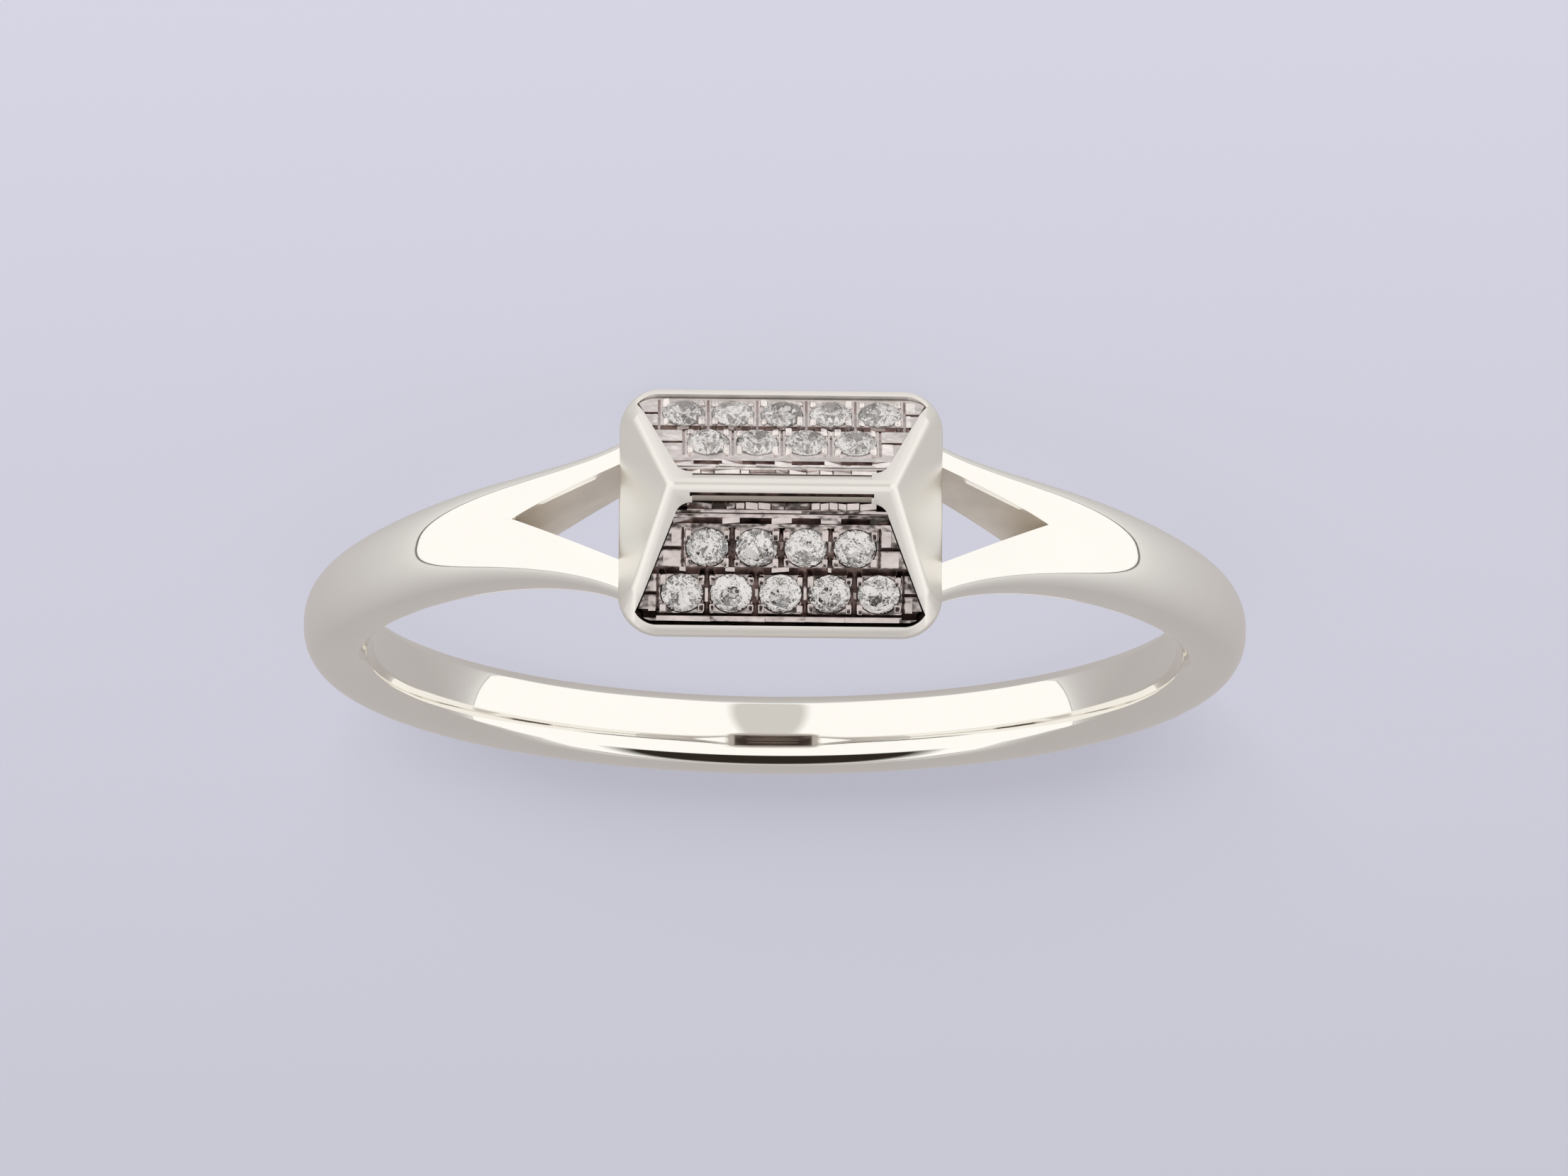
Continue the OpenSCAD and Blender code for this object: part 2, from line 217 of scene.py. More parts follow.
BORE_CUT = 0.785  # where the finger cuts the section, as a share of its depth
SQUARENESS = 2.24  # power of the section's squared circle
FLAT_SHARE = 0.678  # half width of the section's inside, as a share
START_ANGLE = 18.0  # degrees from the head at which the arms begin
SPLIT_POINT_Z = 9.16
SPLIT_MOUTH = (3.27, 9.78)  # x and z of the split's wide end
SPLIT_DRAFT = 7.0  # degrees by which the split narrows inwards
FOOT_Z = 7.7  # height of the head's foot
FOOT_R = 0.5
HIP_DROP = 0.5  # height above the rim at which the hips are measured
HIP_R = 0.3  # rounding of the hips there
WEB_T = 0.3  # metal between the two pockets
LEDGE_W = 0.24  # ledge that carries a plate
ROW_COUNTS = (4, 5)


def slope_angle(h, run):
    rise = h.ridge_z - h.ridge_r - h.rim_z
    return math.atan2(rise, run) - math.asin(
        (h.rim_r - h.ridge_r) / math.hypot(run, rise)
    )


class Slope:
    """A long slope of the head, and the outline of its plate."""

    def __init__(self, h):
        ridge_c = h.ridge_z - h.ridge_r
        rim_y = h.width / 2 - h.rim_r
        self.angle = slope_angle(h, rim_y)
        self.sine, self.cosine = math.sin(self.angle), math.cos(self.angle)
        self.y = h.ridge_r * self.sine
        self.z = ridge_c + h.ridge_r * self.cosine
        self.length = math.hypot(
            rim_y + h.rim_r * self.sine - self.y,
            self.z - h.rim_z - h.rim_r * self.cosine,
        )
        self.top = 0.26
        self.side = self.length - 0.31
        self.end = self.length - 0.08
        self.top_x = h.ridge_l / 2 - 0.205
        self.side_x = h.length / 2 - 0.34
        self.end_x = h.length / 2 - 0.52
        self.row = self.length - 1.8

    def matrix(self, side):
        """From the slope's own plane to the upright ring."""
        return (
            Matrix.Rotation(0.0 if side > 0 else math.pi, 4, "Z")
            @ Matrix.Translation((0, -self.y, self.z))
            @ Matrix.Rotation(self.angle, 4, "X")
        )

    def across(self, down, margin):
        """Half the plate's width at a distance down the slope."""
        lean = (self.side_x - self.top_x) / (self.side - self.top)
        return self.top_x + lean * (down - self.top) - margin * math.hypot(1, lean)

    def outline(self, margin):
        """Half of the pocket's outline: points and their roundings."""
        top, side = self.top + margin, self.side - margin / 4
        return [
            (self.across(top, margin), -top, 0.3),
            (self.across(side, margin), -side, 0.0),
            (self.end_x - margin / 2, -(self.end - margin), 0.45),
        ]

    def window(self, margin):
        top, end = self.top + margin, self.end - margin
        return [
            (self.across(top, margin), -top, 0.2),
            (self.across(end, margin), -end, 0.3),
        ]

    def rows(self, stones, side):
        """How far down the slope the two rows run."""
        first = self.row + (stones.shift / MM if side < 0 else 0.0)
        return [-first, -(first + stones.row_step / MM)]

    def places(self, stones, side):
        """Middles of the nine stones, row by row from the ridge."""
        pitch = stones.pitch / MM
        return [
            ((i - (count - 1) / 2) * pitch, y)
            for count, y in zip(ROW_COUNTS, self.rows(stones, side))
            for i in range(count)
        ]


def lay_matrix(context):
    """From the upright ring in millimetres to where it lies in metres."""
    b, h, _, _ = sizes(context)
    bore_r = b.bore / 2
    rim_y = h.width / 2 - h.rim_r
    arm_z = h.rim_z + bore_r + BORE_CUT * b.thickness / (1 + BORE_CUT)
    tilt = math.atan2(rim_y, arm_z) + math.asin(
        (h.rim_r - b.width / 2) / math.hypot(arm_z, rim_y)
    )
    lift = rim_y * math.cos(tilt) + h.rim_r - h.rim_z * math.sin(tilt)
    shift = (h.ridge_z - bore_r - b.thickness) * math.cos(tilt) / 2
    return (
        Matrix.Scale(MM, 4)
        @ Matrix.Translation((0, shift, lift))
        @ Matrix.Rotation(-tilt, 4, "X")
        @ Matrix.Rotation(math.pi, 4, "Z")
        @ Matrix.Rotation(-math.pi / 2, 4, "X")
    )


# ---- mesh helpers


def everything(bm):
    return bm.faces[:] + bm.edges[:] + bm.verts[:]


def move(bm, matrix):
    bmesh.ops.transform(bm, matrix=matrix, verts=bm.verts)


def rotate(bm, verts, degrees, axis):
    matrix = Matrix.Rotation(math.radians(degrees), 3, axis)
    bmesh.ops.rotate(bm, verts=verts, cent=(0, 0, 0), matrix=matrix)


def sweep(bm, geom, axis, degrees, steps, centre=(0, 0, 0)):
    """Turns a section about an axis and returns its last copy."""
    return bmesh.ops.spin(
        bm,
        geom=geom,
        cent=centre,
        axis=axis,
        angle=math.radians(degrees),
        steps=steps,
        use_merge=False,
        use_duplicate=False,
    )["geom_last"]


def push(bm, faces, travel):
    """Extrudes faces by a vector and returns the moved points and faces."""
    out = bmesh.ops.extrude_face_region(bm, geom=faces)["geom"]
    moved = [v for v in out if isinstance(v, bmesh.types.BMVert)]
    bmesh.ops.translate(bm, verts=moved, vec=travel)
    return moved, [f for f in out if isinstance(f, bmesh.types.BMFace)]


def trim(bm, point, normal, near=0.0):
    """Takes off what lies past a plane."""
    bmesh.ops.bisect_plane(
        bm,
        geom=everything(bm),
        plane_co=point,
        plane_no=normal,
        clear_outer=True,
        dist=near,
    )


def trim_closed(bm, point, normal):
    trim(bm, point, normal)
    bmesh.ops.holes_fill(bm, edges=[e for e in bm.edges if e.is_boundary])


def repeat_quarter(bm, near):
    """Mirrors a quarter of a shape to the other three."""
    for axis in "YX":
        bmesh.ops.mirror(
            bm,
            geom=everything(bm),
            matrix=Matrix.Identity(4),
            merge_dist=near,
            axis=axis,
        )
    bmesh.ops.remove_doubles(bm, verts=bm.verts, dist=1e-4)


def wrap(bm, flat_deg):
    """Draws a hull tight round the points and joins its flat triangles."""
    bmesh.ops.convex_hull(bm, input=bm.verts[:], use_existing_faces=False)
    inside = [v for v in bm.verts if not v.link_faces]
    bmesh.ops.delete(bm, geom=inside, context="VERTS")
    bmesh.ops.dissolve_limit(
        bm, angle_limit=math.radians(flat_deg), verts=bm.verts[:], edges=bm.edges[:]
    )


def painted(bm, index):
    for face in bm.faces:
        face.material_index = index
    return bm


def sharp_edges(bm, degrees, test):
    limit = math.radians(degrees)
    bm.normal_update()
    return [
        e
        for e in bm.edges
        if len(e.link_faces) == 2
        and e.calc_face_angle() > limit
        and test((e.verts[0].co + e.verts[1].co) / 2)
    ]


def soften(bm, edges, offset, segments=3):
    bmesh.ops.bevel(
        bm,
        geom=edges,
        offset=offset,
        offset_type="OFFSET",
        affect="EDGES",
        segments=segments,
        profile=0.5,
        clamp_overlap=True,
        material=-1,
    )


def round_corner(bm, vert, offset, segments):
    bmesh.ops.bevel(
        bm,
        geom=[vert],
        offset=offset,
        offset_type="OFFSET",
        affect="VERTICES",
        segments=segments,
        profile=0.5,
        material=-1,
    )


def prism(half, low, high):
    """A closed prism on an outline, of which half is given."""
    bm = bmesh.new()
    points = half + [(-x, y, r) for x, y, r in reversed(half)]
    corners = [bm.verts.new((x, y, low)) for x, y, _ in points]
    bm.faces.new(corners)
    bm.normal_update()
    for vert, (_, _, radius) in zip(corners, points):
        if radius:
            a, b = (e.other_vert(vert).co - vert.co for e in vert.link_edges)
            round_corner(bm, vert, radius / math.tan(a.angle(b) / 2), 8)
    push(bm, bm.faces[:], (0, 0, high - low))
    return bm


def box(bm, x0, x1, y0, y1, z0, z1):
    verts = bmesh.ops.create_cube(bm, size=1.0)["verts"]
    bmesh.ops.scale(bm, verts=verts, vec=(x1 - x0, y1 - y0, z1 - z0))
    middle = ((x0 + x1) / 2, (y0 + y1) / 2, (z0 + z1) / 2)
    bmesh.ops.translate(bm, verts=verts, vec=middle)
    return verts


def link(context, bm, name):
    """Makes an object of a mesh and frees the bmesh."""
    mesh = bpy.data.meshes.new(name)
    bm.to_mesh(mesh)
    bm.free()
    made = bpy.data.objects.new(name, mesh)
    context.scene.collection.objects.link(made)
    return made


def cut(context, bm, cutters):
    """Takes each cutter, a bmesh, out of bm and returns the result."""
    body = link(context, bm, "cut")
    tools = []
    for cutter in cutters:
        bmesh.ops.recalc_face_normals(cutter, faces=cutter.faces)
        step = body.modifiers.new("cut", "BOOLEAN")
        step.object = link(context, cutter, "tool")
        step.operation = "DIFFERENCE"
        step.solver = "EXACT"
        step.material_mode = "INDEX"
        tools.append(step.object)
    context.view_layer.update()
    done = bmesh.new()
    done.from_mesh(body.evaluated_get(context.evaluated_depsgraph_get()).to_mesh())
    for item in tools + [body]:
        data = item.data
        bpy.data.objects.remove(item)
        bpy.data.meshes.remove(data)
    return done


def finish_piece(context, bm, name, materials, smooth_deg=0.0, even=False):
    """Turns a mesh drawn upright into a piece that lies on its side."""
    move(bm, lay_matrix(context))
    bmesh.ops.recalc_face_normals(bm, faces=bm.faces)
    piece = link(context, bm, name)
    found = finishes(context)
    for material in materials:
        piece.data.materials.append(found[material])
    if smooth_deg:
        piece.data.shade_smooth()
        piece.data.set_sharp_from_angle(angle=math.radians(smooth_deg))
    if even:
        keep = piece.modifiers.new("Even shading", "WEIGHTED_NORMAL")
        keep.keep_sharp = True
        keep.weight = 50
    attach(piece, "root")
    return piece


# ---- materials


def new_material(name):
    material = bpy.data.materials.new(name)
    material.use_nodes = True
    nodes, links = material.node_tree.nodes, material.node_tree.links
    return material, nodes, links, nodes["Principled BSDF"]


def add(nodes, kind, **inputs):
    """Adds a node and sets its sockets."""
    node = nodes.new("ShaderNode" + kind)
    for name, value in inputs.items():
        node.inputs[name].default_value = value
    return node


def polished_gold(name, tint, roughness, ripple, scratch, grain, dim, patch):
    """Polished metal: a soft ripple from hand polishing and fine swirls."""
    _, nodes, links, shader = new_material(name)
    shader.inputs["Metallic"].default_value = 1.0
    shader.inputs["Roughness"].default_value = roughness
    place = add(nodes, "TexCoord").outputs["Object"]

    def noise(scale, detail, socket):
        made = add(nodes, "TexNoise", Scale=scale, Detail=detail)
        links.new(place, made.inputs["Vector"])
        links.new(made.outputs["Fac"], socket)

    tone = add(nodes, "ValToRGB")
    dark, light = tone.color_ramp.elements
    dark.position, light.position = 0.3, 0.7
    dark.color = [c * dim for c in tint] + [1]
    light.color = list(tint) + [1]
    noise(patch, 3.0, tone.inputs["Fac"])
    links.new(tone.outputs["Color"], shader.inputs["Base Color"])
    wave = add(nodes, "Bump", Strength=1.0, Distance=ripple * MM)
    noise(grain, 1.0, wave.inputs["Height"])
    fine = add(nodes, "Bump", Strength=1.0, Distance=scratch * MM)
    noise(9000.0, 4.0, fine.inputs["Height"])
    links.new(wave.outputs["Normal"], fine.inputs["Normal"])
    links.new(fine.outputs["Normal"], shader.inputs["Normal"])


def cut_diamond(name, tint, flaws):
    """Clear stone whose facets are broken up by reflections too fine to model."""
    _, nodes, links, shader = new_material(name)
    shader.inputs["Base Color"].default_value = (*tint, 1)
    shader.inputs["Transmission Weight"].default_value = 1.0
    shader.inputs["IOR"].default_value = 2.417
    shader.inputs["Roughness"].default_value = 0.04
    cells = add(nodes, "TexVoronoi", Scale=3600.0)
    links.new(add(nodes, "TexCoord").outputs["Object"], cells.inputs["Vector"])

    def vector(operation, *sources):
        made = add(nodes, "VectorMath")
        made.operation = operation
        for source, socket in zip(sources, made.inputs):
            links.new(source, socket)
        return made

    lean = vector("MULTIPLY_ADD", cells.outputs["Color"])
    lean.inputs[1].default_value = (flaws, flaws, flaws)
    lean.inputs[2].default_value = (-flaws / 2, -flaws / 2, -flaws / 2)
    facet = add(nodes, "NewGeometry").outputs["Normal"]
    tilted = vector("ADD", facet, lean.outputs["Vector"])
    unit = vector("NORMALIZE", tilted.outputs["Vector"])
    links.new(unit.outputs["Vector"], shader.inputs["Normal"])


def paper(name, tint):
    _, _, _, shader = new_material(name)
    shader.inputs["Roughness"].default_value = 0.9
    shader.inputs["Specular IOR Level"].default_value = 0.1
    shader.inputs["Base Color"].default_value = (*tint, 1)


# Finish: colour, roughness, heights of the ripple and the swirls in mm, ripples
# a metre, the darkest tone as a share of the colour, and patches a metre.
GOLDS = {
    "polished_white_gold": ("white_gold", 0.04, 0.004, 0.00001, 520, 0.975, 450),
    "satin_white_gold": ("satin_gold", 0.28, 0.004, 0.0002, 520, 0.975, 450),
    "brushed_white_gold": ("brushed_gold", 0.55, 0.004, 0.0002, 520, 0.975, 450),
    "wall_gold": ("wall_gold", 0.5, 0.006, 0.0002, 1500, 0.86, 900),
    # Unpolished inside the head; painted shade on the near lip.
    "inner_gold": ("inner_gold", 0.42, 0.01, 0.002, 2600, 0.975, 450),
    "bright_cut_gold": ("plate_gold", 0.17, 0.016, 0.0004, 4600, 0.72, 3200),
    # A lighter copy of the plate gold, painted light on the far plate.
    "far_cut_gold": ("far_gold", 0.2, 0.016, 0.0004, 4600, 0.8, 3200),
    # Painted shade for the near side's grooves, pits, seats, pocket walls and lip line.
    "groove_gold": ("shade_gold", 0.3, 0.012, 0.0004, 5200, 0.1, 3000),
}


def finishes(context):
    """The materials, made once and shared by the pieces."""
    f = context.scene.ring_finishes
    found = bpy.data.materials
    if "polished_white_gold" not in found:
        for name, (tint, *looks) in GOLDS.items():
            polished_gold(name, getattr(f, tint), *looks)
        cut_diamond("cut_diamond", f.diamond, 0.3)
        paper("pale_floor", f.floor)
    return found


# ---- the band


def band_half_width(b, q):
    """Half of the band's width q degrees from the head."""
    flare = (20 / max(abs(q), 16)) ** 1.84
    return (b.width + (b.shoulder_width - b.width) * flare) / 2


def band_depth(b, q):
    """Depth of the whole squared circle, of which the finger takes a part."""
    swell = b.swell * math.exp(-(((abs(q) - 31) / 21.5) ** 2))
    return (b.thickness + swell) / (1 + BORE_CUT)


def split_reach(b, x, z):
    """Half of the split's opening at a point of the shoulder's middle plane."""
    if z < 0:
        return 0.0
    ax, az = SPLIT_MOUTH[0] - b.split_x, SPLIT_MOUTH[1] - SPLIT_POINT_Z
    run = math.hypot(ax, az)
    ax, az = ax / run, az / run
    half = math.atan2(b.split_half, run)
    along = (x - b.split_x) / ax
    depth = SPLIT_POINT_Z + az * along - z
    draft = math.tan(math.radians(SPLIT_DRAFT))
    return max(0.0, along * math.tan(half) - depth * draft / math.cos(half))


def split_angle(b):
    """Angle from the head at which the split's point meets the outside."""
    low, high = START_ANGLE, 45.0
    for _ in range(40):
        q = (low + high) / 2
        r = b.bore / 2 + band_depth(b, q) * (1 + BORE_CUT)
        t = math.radians(q)
        if split_reach(b, r * math.sin(t), r * math.cos(t)) > 0:
            low = q
        else:
            high = q
    return low


def rounded_square(u):
    return (1 - min(1.0, abs(u)) ** SQUARENESS) ** (1 / SQUARENESS)


def band_section(bm):
    """Half of the band's section: a squared circle cut off by the finger."""
    made = bmesh.ops.create_circle(bm, cap_ends=True, segments=88, radius=1.0)
    for v in made["verts"]:
        p = math.atan2(v.co.y, v.co.x)
        c, s = math.cos(p), math.sin(p)
        v.co = (
            math.copysign(abs(c) ** (2 / SQUARENESS), c),
            math.copysign(abs(s) ** (2 / SQUARENESS), s),
            0,
        )
    trim(bm, (0, -BORE_CUT, 0), (0, -1, 0), 1e-5)
    trim(bm, (0, 0, 0), (-1, 0, 0), 1e-5)
    corner = max(
        (v for v in bm.verts if abs(v.co.y + BORE_CUT) < 1e-4), key=lambda v: v.co.x
    )
    round_corner(bm, corner, 0.09, 6)
    wall = [e for e in bm.edges if all(abs(v.co.x) < 1e-5 for v in e.verts)]
    bmesh.ops.subdivide_edges(bm, edges=wall, cuts=9)
    flat = [e for e in bm.edges if all(abs(v.co.y + BORE_CUT) < 1e-5 for v in e.verts)]
    bmesh.ops.subdivide_edges(bm, edges=flat, cuts=5)


def shape_band(b, bm, arm):
    """Moves the turned section's points to the band's own width and depth."""
    for v in bm.verts:
        q = math.degrees(math.atan2(v.co.x, v.co.z))
        u, s = v.co.y, math.hypot(v.co.x, v.co.z) - arm
        t = math.radians(q)
        sine, cosine = math.sin(t), math.cos(t)
        a, depth = band_half_width(b, q), band_depth(b, q)

        def radius(share_out):
            return b.bore / 2 + depth * (BORE_CUT + share_out)

        def dome(s, y):
            """How far the inside falls away from the finger at its edges."""
            near = max(0.0, min(1.0, (s + 0.4) / (0.4 - BORE_CUT)))
            return near * b.dome * (y / (a * FLAT_SHARE)) ** 2

        top = 0.0
        for _ in range(3):
            r = radius(rounded_square(top / a))
            top = split_reach(b, r * sine, r * cosine)
        if u < 1e-5:  # the wall of the split
            crest = rounded_square(top / a)
            s = -BORE_CUT + (s + BORE_CUT) * (crest + BORE_CUT) / (1 + BORE_CUT)
            r = radius(s)
            y = split_reach(b, r * sine, r * cosine)
        elif s < -BORE_CUT + 1e-4:  # the inside, against the finger
            r = radius(-BORE_CUT)
            low = split_reach(b, r * sine, r * cosine)
            edge = a * 0.6
            y = a * u
            if y < edge:
                y = low + y * (edge - low) / edge
        else:
            if s >= 0:
                u = u + (top / a) * (1 - u)
                s = rounded_square(u)
            r = radius(s)
            y = a * u
        r += dome(s, y)
        v.co = (r * sine, y, r * cosine)


def on_split(p):
    return 2.9 < abs(p.x) < 5.9 and 0.002 < abs(p.y) < 1.25 and p.z > 0


class RING_OT_band(Operator):
    """Build the round band, its shoulders and the arms of the split"""

    bl_idname = "ring.band"
    bl_label = "Band"

    def execute(self, context):
        b, _, _, _ = sizes(context)
        arm = 10.0
        bm = bmesh.new()
        band_section(bm)
        # The section's own plane turned to stand across the ring.
        move(bm, Matrix(((0, 0, 1, 0), (1, 0, 0, 0), (0, 1, 0, arm), (0, 0, 0, 1))))
        rotate(bm, bm.verts, START_ANGLE, "Y")
        tip = split_angle(b)
        geom = everything(bm)
        for degrees, steps in ((tip - START_ANGLE, 16), (60 - tip, 36), (120, 84)):
            geom = sweep(bm, geom, (0, 1, 0), degrees, steps)
        shape_band(b, bm, arm)
        # Faces where the quarters meet, and the section at the back.
        inner = [
            f
            for f in bm.faces
            if all(abs(v.co.y) < 1e-4 for v in f.verts)
            or all(abs(v.co.x) < 1e-3 for v in f.verts)
            or (len(f.verts) > 8 and f.calc_center_median().x > 8)
        ]
        bmesh.ops.delete(bm, geom=inner, context="FACES")
        repeat_quarter(bm, 1e-4)
        bmesh.ops.recalc_face_normals(bm, faces=bm.faces)
        soften(bm, sharp_edges(bm, 50, on_split), b.edge)
        for face in bm.faces:
            middle = face.calc_center_median()
            turned_in = face.normal.y * middle.y < 0
            if on_split(middle) and turned_in and abs(face.normal.y) > 0.7:
                face.material_index = 1
        band = finish_piece(
            context, bm, "ring_band", ("polished_white_gold", "wall_gold"), 40, True
        )
        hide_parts("ring_body")
        return {"FINISHED"}


# ---- the head

HEAD_FINISHES = ("satin_white_gold", "inner_gold", "groove_gold", "brushed_white_gold")
SATIN, UNPOLISHED_AND_SHADED, PAINTED_SHADE, BRUSHED = range(4)


def head_form(h):
    """The hipped roof and its foot, drawn tight round balls and rings."""
    bm = bmesh.new()
    corner_x, corner_y = h.length / 2 - h.corner, h.width / 2 - h.corner
    ring = bmesh.ops.create_circle(bm, segments=32, radius=h.rim_r)["verts"]
    rotate(bm, ring, 90, "X")
    start = (corner_x + h.corner - h.rim_r, corner_y, h.rim_z)
    bmesh.ops.translate(bm, verts=ring, vec=start)
    sweep(bm, ring + bm.edges[:], (0, 0, 1), 90, 18, (corner_x, corner_y, 0))
    foot = bmesh.ops.create_circle(bm, segments=40, radius=FOOT_R)["verts"]
    inset = h.foot_inset + FOOT_R
    bmesh.ops.translate(
        bm, verts=foot, vec=(h.length / 2 - inset, h.width / 2 - inset, FOOT_Z)
    )
    end = slope_angle(h, h.length / 2 - h.rim_r - (h.ridge_l - h.ridge_r) / 2)
    long = slope_angle(h, h.width / 2 - h.rim_r)
    ridge_c, ridge_x = h.ridge_z - h.ridge_r, (h.ridge_l - h.ridge_r) / 2
    hip_z = h.rim_z + HIP_DROP

    def reach(start, angle):
        fall = (ridge_c - hip_z) * math.cos(angle) + h.ridge_r - HIP_R
        return start + fall / math.sin(angle)

    for radius, at in (
        (h.ridge_r, (ridge_x, 0, ridge_c)),
        (HIP_R, (reach(ridge_x, end), reach(0, long), hip_z)),
    ):
        ball = bmesh.ops.create_uvsphere(
            bm, u_segments=64, v_segments=32, radius=radius
        )["verts"]
        bmesh.ops.translate(bm, verts=ball, vec=at)
    bmesh.ops.delete(bm, geom=bm.faces[:], context="FACES_ONLY")
    bmesh.ops.delete(bm, geom=bm.edges[:], context="EDGES_FACES")
    repeat_quarter(bm, 1e-5)
    wrap(bm, 0.4)
    return bm


def head_hollow(h):
    bm = bmesh.new()
    for x, y, z in (
        (2.2, 1.45, FOOT_Z - 0.4),
        (h.length / 2 - 0.72, h.width / 2 - 0.72, h.rim_z - 0.35),
        ((h.ridge_l - h.ridge_r) / 2 - 0.3, 0.0, h.ridge_z - 1.1),
    ):
        for sx in (-1, 1):
            for sy in (-1, 1):
                bm.verts.new((sx * x, sy * y, z))
    bmesh.ops.remove_doubles(bm, verts=bm.verts, dist=1e-4)
    wrap(bm, 0.4)
    return bm


def bore_tool(b, h):
    bm = bmesh.new()
    bmesh.ops.create_cone(
        bm,
        cap_ends=True,
        segments=360,
        radius1=b.bore / 2,
        radius2=b.bore / 2,
        depth=2 * h.width,
        matrix=Matrix.Rotation(math.pi / 2, 4, "X"),
    )
    return bm


def pocket_tools(slope, p, side):
    """The plate's pocket, and the window behind its ledge."""
    floor = -p.recess - p.thickness - p.gap
    tools = []
    for half, low, high in (
        (slope.outline(0.0), floor, 1.0),
        (slope.window(LEDGE_W), -2.0, floor + 0.05),
    ):
        bm = prism(half, low, high)
        move(bm, slope.matrix(side))
        trim_closed(bm, (0, -side * WEB_T / 2, 0), (0, side, 0))
        tools.append(bm)
    return tools


def lip_tool(slope, p, side):
    """Takes off the bevelled lip between the ridge and the plate."""
    bm = bmesh.new()
    half = slope.top_x - 0.25
    deep = -(slope.top + 0.01)
    points = [(-0.03, 0.0), (deep, -p.recess - 0.01), (deep, 0.5), (-0.03, 0.5)]
    face = bm.faces.new([bm.verts.new((-half, y, z)) for y, z in points])
    push(bm, [face], (2 * half, 0, 0))
    move(bm, slope.matrix(side))
    return bm


def line_tool(slope):
    """The line engraved in the near lip, painted dark as shade."""
    bm = bmesh.new()
    half = slope.top_x - 0.2
    box(bm, -half, half, -0.115, -0.03, -0.1, 0.5)
    move(bm, slope.matrix(1))
    return bm


class RING_OT_head(Operator):
    """Build the hipped head with its two pockets and its hollow"""

    bl_idname = "ring.head"
    bl_label = "Head"

    def execute(self, context):
        b, h, p, _ = sizes(context)
        slope = Slope(h)
        tools = [bore_tool(b, h), painted(head_hollow(h), UNPOLISHED_AND_SHADED)]
        # On the near side the pocket's walls and the engraved line are painted shade,
        # and the lip takes the unpolished gold as painted shade; the far side stays
        # satin.
        for side in (1, -1):
            pocket, window = pocket_tools(slope, p, side)
            tools += [
                painted(pocket, PAINTED_SHADE if side > 0 else SATIN),
                painted(window, UNPOLISHED_AND_SHADED),
                painted(lip_tool(slope, p, side), UNPOLISHED_AND_SHADED if side > 0 else SATIN),
            ]
        tools.append(painted(line_tool(slope), PAINTED_SHADE))
        bm = cut(context, head_form(h), tools)
        bmesh.ops.remove_doubles(bm, verts=bm.verts, dist=2e-4)
        to_slope = slope.matrix(1).inverted()

        def seen(q):
            """Edges above the rim, apart from the ridge and its line."""
            at = to_slope @ q
            lined = q.y < 0 and -0.14 < at.y < -0.02 and at.z > -0.12
            return q.z > h.rim_z - 0.05 and abs(q.y) > 0.1 and not lined

        soften(bm, sharp_edges(bm, 24, seen), h.edge, 2)
        # The strips round the plates are brushed more coarsely than the ends.
        bm.normal_update()
        for face in bm.faces:
            n = face.normal
            along_slope = abs(n.y) * slope.sine + n.z * slope.cosine > 0.85
            if face.material_index == SATIN and along_slope:
                face.material_index = BRUSHED
        head = finish_piece(context, bm, "ring_head", HEAD_FINISHES, 30, True)
        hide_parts("ring_body")
        return {"FINISHED"}


# ---- the plates

# The near plate's cuts take the painted shade gold. The far plate takes a lighter copy
# of the plate gold as painted light, and its cuts take the darker plate gold as painted
# shade.
PLATE_FINISHES = {
    1: ("bright_cut_gold", "groove_gold"),
    -1: ("far_cut_gold", "bright_cut_gold"),
}
CELLS_HALF = 1.92  # half the length of the row of cells beside the ridge
BAR_HALF = 2.5  # half the length of the border bar


def plate_tools(slope, p, stones, side):
    """Cells, grooves and slits, and the stones' seats, as cutters."""
    top, edge = -p.recess, -slope.top
    d, pitch, step = stones.diameter / MM, stones.pitch / MM, stones.row_step / MM
    deep = top - p.groove
    rows = slope.rows(stones, side)
    border = rows[1] - d / 2
    engraved, slits, ends = bmesh.new(), bmesh.new(), bmesh.new()
    box(engraved, -2.22, 2.22, edge - 0.19, edge - 0.05, top - 0.1, 1)
    box(engraved, -2.3, 2.3, edge - 0.285, edge - 0.26, top - 0.06, 1)
    box(engraved, -2.36, 2.36, edge - 0.51, edge - 0.37, deep, 1)
    between = rows[0] - step / 2
    box(engraved, -2.75, 2.75, between - 0.09, between + 0.08, deep, 1)
    for y, count in zip(rows, ROW_COUNTS):
        for i in range(count + 1):
            x = (i - count / 2) * pitch
            w = 0.025 if side < 0 or i in (0, count) else 0.075
            box(slits, x - w, x + w, y - 0.5, y + 0.46, deep, 1)
        for turn in (-1, 1):
            x = turn * (count / 2 * pitch + 0.3)
            box(ends, x - 0.33, x + 0.33, y - 0.05, y + 0.03, top - 0.1, 1)
    if side > 0:
        box(engraved, -3.0, 3.0, border - 0.085, border - 0.02, deep, 1)
        box(engraved, -2.95, 2.95, border - 0.3, border - 0.2, deep, 1)
        box(ends, -1.9, 1.9, edge - 0.08, edge, deep, 1)
    for turn in (-1, 1):
        x = turn * 2.08
        box(ends, x - 0.16, x + 0.16, edge - 0.21, edge - 0.02, deep - 0.15, 1)
        x = turn * 2.75
        if side > 0:
            box(ends, x - 0.28, x + 0.28, border - 0.14, border + 0.06, deep - 0.15, 1)
    seats = seat_tools(slope, stones, side, top, d)
    # The cuts take the plate's second finish, which is painted shade.
    for tool in (engraved, slits, ends):
        painted(tool, 1)
    return engraved, slits, ends, seats


